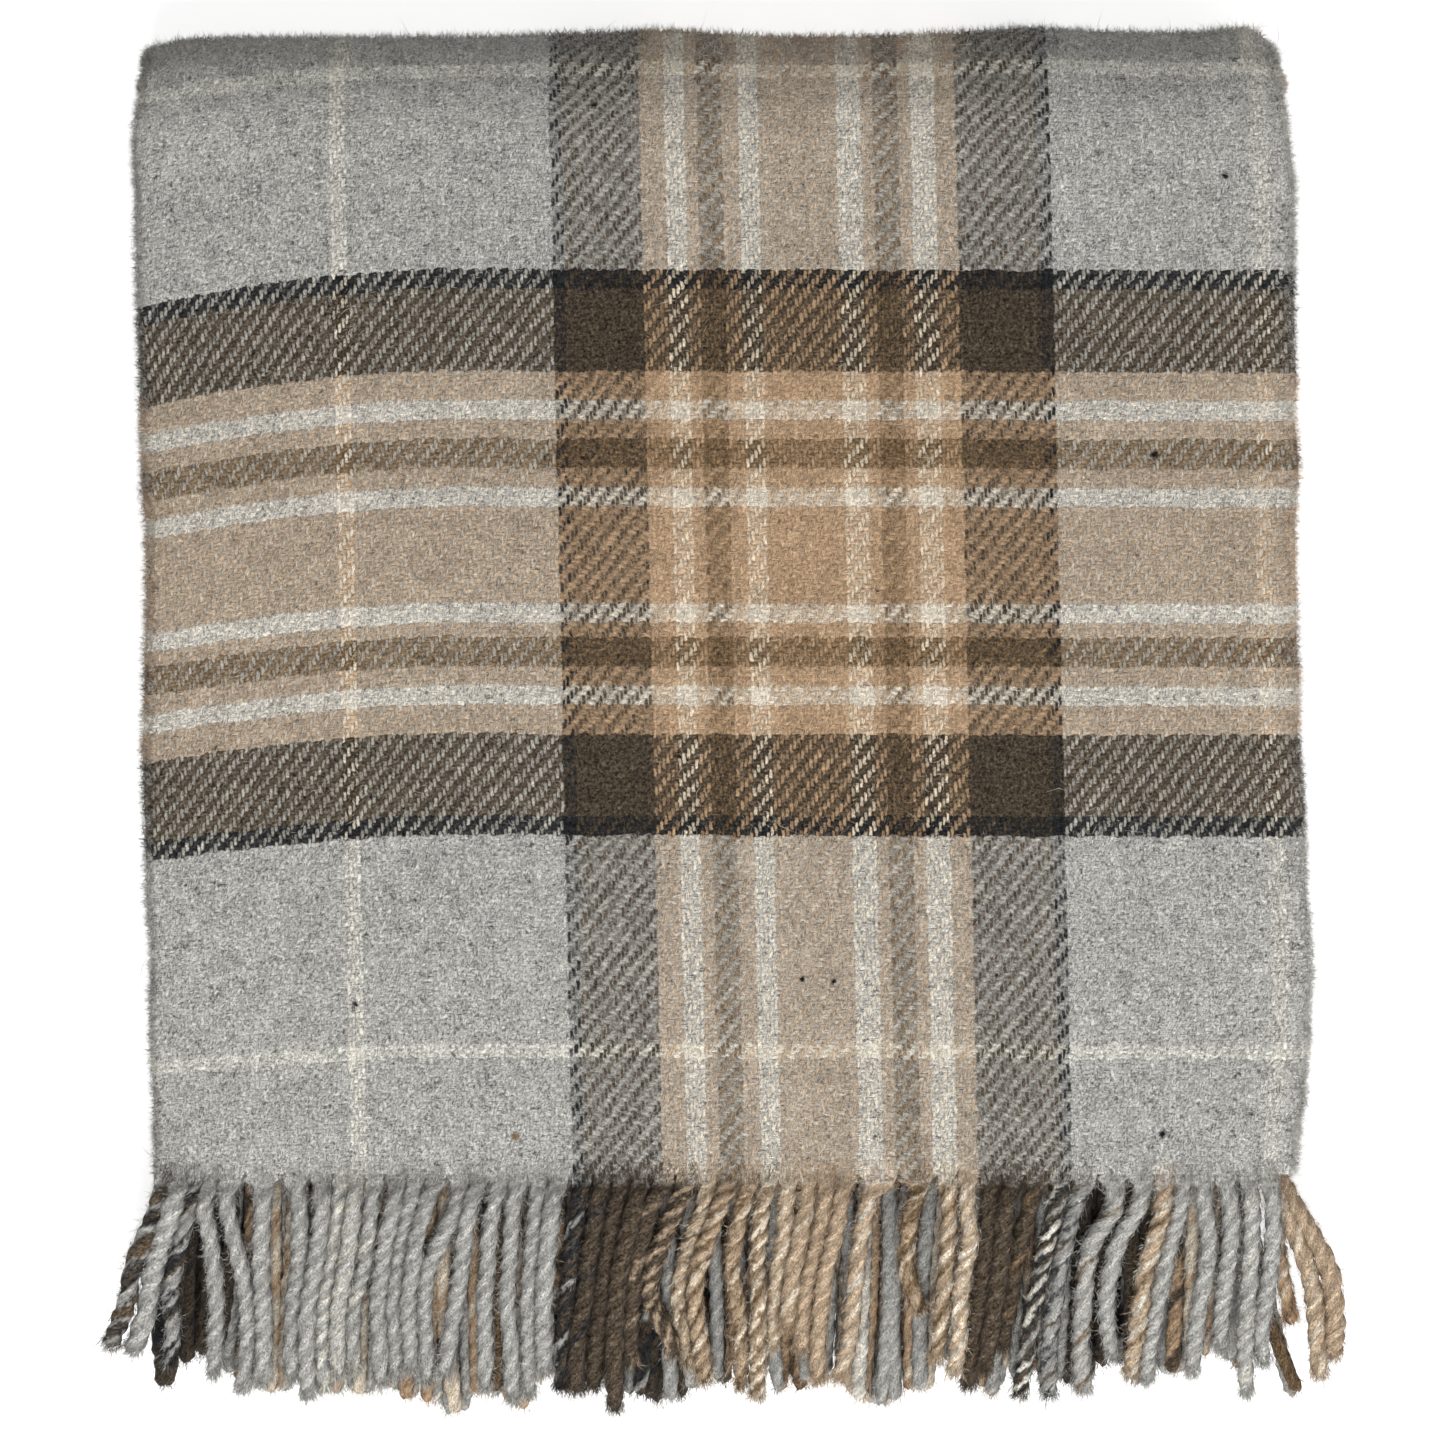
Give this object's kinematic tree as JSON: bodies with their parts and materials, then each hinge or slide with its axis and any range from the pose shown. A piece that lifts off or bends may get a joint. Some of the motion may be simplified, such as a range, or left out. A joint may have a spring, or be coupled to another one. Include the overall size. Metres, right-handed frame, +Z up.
{
  "type": "folded throw blanket",
  "caption": "Woollen throw blanket in a mirrored stripe check, folded flat into a pad with twisted cord fringe along one edge and a thick rounded fold opposite.",
  "frame": {"origin": "centre of the footprint on the floor, under the folded throw", "axes": "+Z up out of the stack, +Y towards the thick rounded fold, fringe towards -Y, +X to the right seen from above"},
  "size_m": [0.4664, 0.5232, 0.0414],
  "materials": {
    "cloth": "matte fulled woollen twill",
    "fringe_grey": "matte twisted wool",
    "fringe_camel": "matte twisted wool",
    "fringe_brown": "matte twisted wool",
    "fringe_marl": "matte twisted wool",
    "fringe_lower": "matte twisted wool"
  },
  "bodies": {
    "root": {"woven_cloth": "cloth", "fringe_cord_01": "fringe_marl", "fringe_cord_02": "fringe_grey", "fringe_cord_03": "fringe_marl", "fringe_cord_04": "fringe_grey", "fringe_cord_05": "fringe_grey", "fringe_cord_06": "fringe_grey", "fringe_cord_07": "fringe_grey", "fringe_cord_08": "fringe_grey", "fringe_cord_09": "fringe_marl", "fringe_cord_10": "fringe_marl", "fringe_cord_11": "fringe_grey", "fringe_cord_12": "fringe_grey", "fringe_cord_13": "fringe_grey", "fringe_cord_14": "fringe_grey", "fringe_cord_15": "fringe_grey", "fringe_cord_16": "fringe_grey", "fringe_cord_17": "fringe_grey", "fringe_cord_18": "fringe_grey", "fringe_cord_19": "fringe_grey", "fringe_cord_20": "fringe_grey", "fringe_cord_21": "fringe_marl", "fringe_cord_22": "fringe_brown", "fringe_cord_23": "fringe_brown", "fringe_cord_24": "fringe_brown", "fringe_cord_25": "fringe_brown", "fringe_cord_26": "fringe_camel", "fringe_cord_27": "fringe_camel", "fringe_cord_28": "fringe_camel", "fringe_cord_29": "fringe_camel", "fringe_cord_30": "fringe_camel", "fringe_cord_31": "fringe_camel", "fringe_cord_32": "fringe_camel", "fringe_cord_33": "fringe_camel", "fringe_cord_34": "fringe_camel", "fringe_cord_35": "fringe_camel", "fringe_cord_36": "fringe_camel", "fringe_cord_37": "fringe_camel", "fringe_cord_38": "fringe_camel", "fringe_cord_39": "fringe_brown", "fringe_cord_40": "fringe_brown", "fringe_cord_41": "fringe_brown", "fringe_cord_42": "fringe_marl", "fringe_cord_43": "fringe_marl", "fringe_cord_44": "fringe_grey", "fringe_cord_45": "fringe_grey", "fringe_cord_46": "fringe_camel", "fringe_cord_47": "fringe_grey", "fringe_cord_48": "fringe_grey", "fringe_cord_49": "fringe_grey", "fringe_cord_50": "fringe_grey", "fringe_cord_51": "fringe_grey", "fringe_splayed_cord_1": "fringe_camel", "fringe_splayed_cord_2": "fringe_camel", "fringe_row_2": "fringe_lower", "fringe_row_3": "fringe_lower", "fringe_row_4": "fringe_lower", "fringe_row_5": "fringe_lower", "fringe_row_6": "fringe_lower"}
  },
  "joints": []
}
